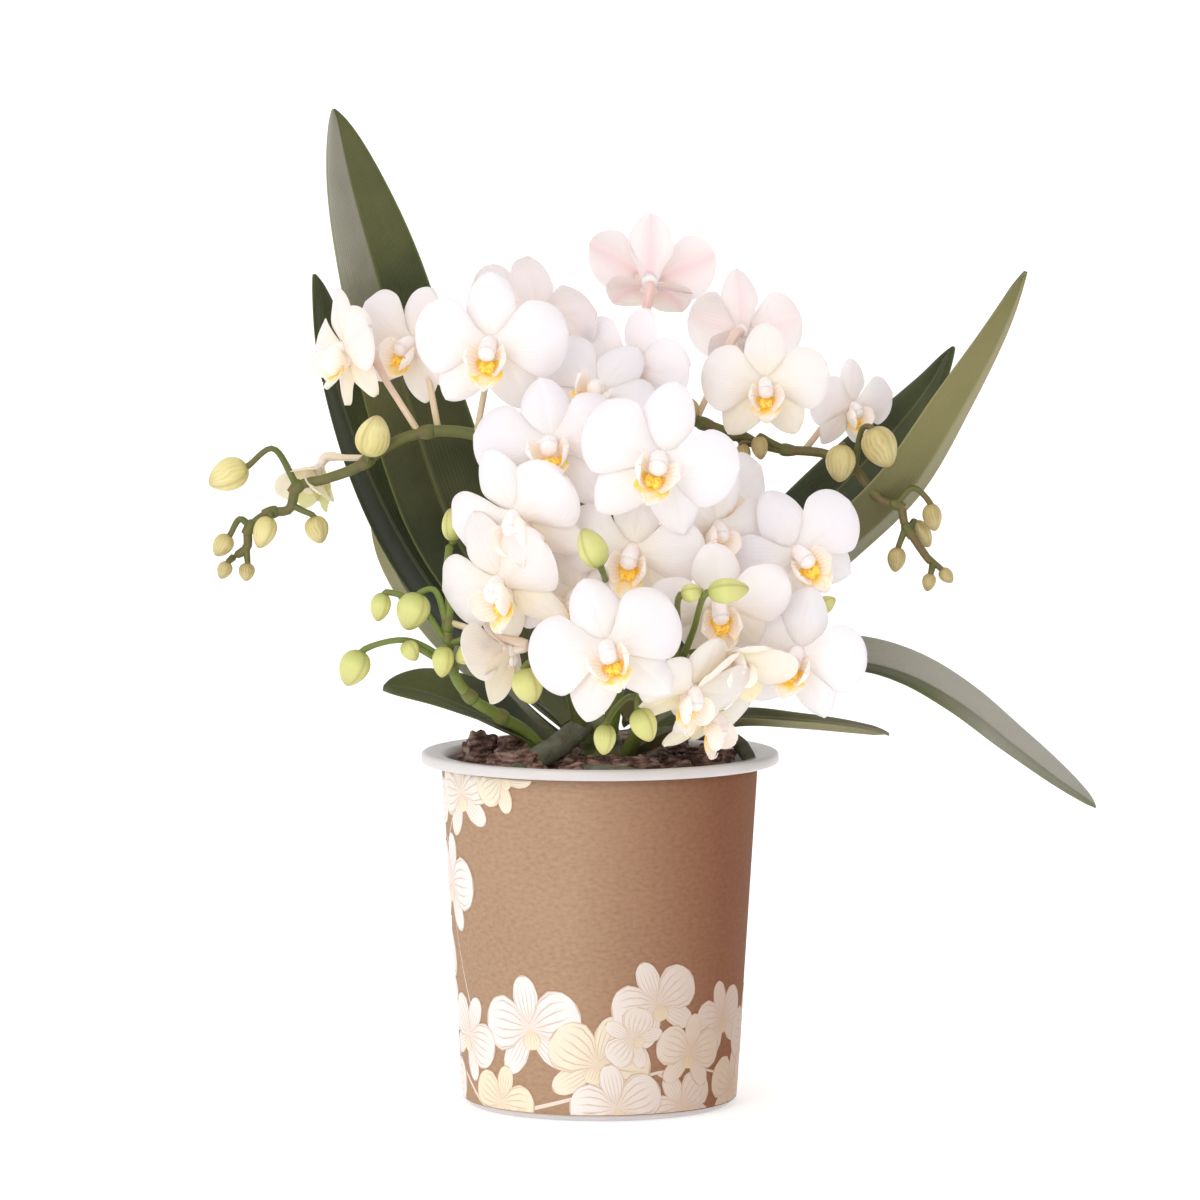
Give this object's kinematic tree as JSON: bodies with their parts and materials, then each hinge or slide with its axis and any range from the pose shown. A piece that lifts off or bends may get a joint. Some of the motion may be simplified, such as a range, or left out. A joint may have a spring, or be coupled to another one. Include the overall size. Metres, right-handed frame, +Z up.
{
  "type": "potted orchid",
  "caption": "Miniature moth orchid in bloom: white flowers on arching spikes above strap leaves, in a round plastic cup of bark with a paper wrap.",
  "frame": {"origin": "centre of the cup's flat base, on the surface it stands on", "axes": "+Z up along the cup's axis, -Y towards the side that the flowers face, +X to the viewer's right"},
  "size_m": [0.2199, 0.1305, 0.248],
  "materials": {
    "cup": "thin white thermoformed plastic, satin",
    "paper_wrap": "brown kraft card, matt, printed with pale blossoms",
    "bark": "damp red-brown pine bark, rough",
    "crown": "green plant tissue, waxy",
    "root": "grey-green air root, velvety",
    "leaf": "thick green leaf, waxy, grey-green underneath",
    "spike": "green flower stalk with yellow-green buds, smooth",
    "flower": "white petals with a faint pink tint and a yellow lip, soft sheen"
  },
  "bodies": {
    "root": {"cup": "cup", "paper_wrap": "paper_wrap", "crown": "crown", "root_front": "root", "root_right": "root", "root_rim": "root", "leaf_tall_left": "leaf", "leaf_outer_left": "leaf", "leaf_back_left": "leaf", "leaf_low_left": "leaf", "leaf_tall_right": "leaf", "leaf_inner_right": "leaf", "leaf_arched_right": "leaf", "leaf_low_right": "leaf", "spike_left": "spike", "spike_right": "spike", "spike_low_left": "spike", "spike_front": "spike", "spike_low_right": "spike", "bark_chip_left": "bark", "bark_chip_front_left": "bark", "bark_chip_front": "bark", "bark_chip_right": "bark", "bark_chip_back": "bark", "bark_chip_back_left": "bark", "bark_bed": "bark", "flower_01": "flower", "flower_02": "flower", "flower_03": "flower", "flower_04": "flower", "flower_05": "flower", "flower_06": "flower", "flower_07": "flower", "flower_08": "flower", "flower_09": "flower", "flower_10": "flower", "flower_11": "flower", "flower_12": "flower", "flower_13": "flower", "flower_14": "flower", "flower_15": "flower", "flower_16": "flower", "flower_17": "flower", "flower_18": "flower", "flower_19": "flower", "flower_20": "flower", "flower_21": "flower", "flower_22": "flower", "flower_23": "flower", "flower_24": "flower", "flower_25": "flower", "flower_26": "flower", "flower_27": "flower"}
  },
  "joints": []
}
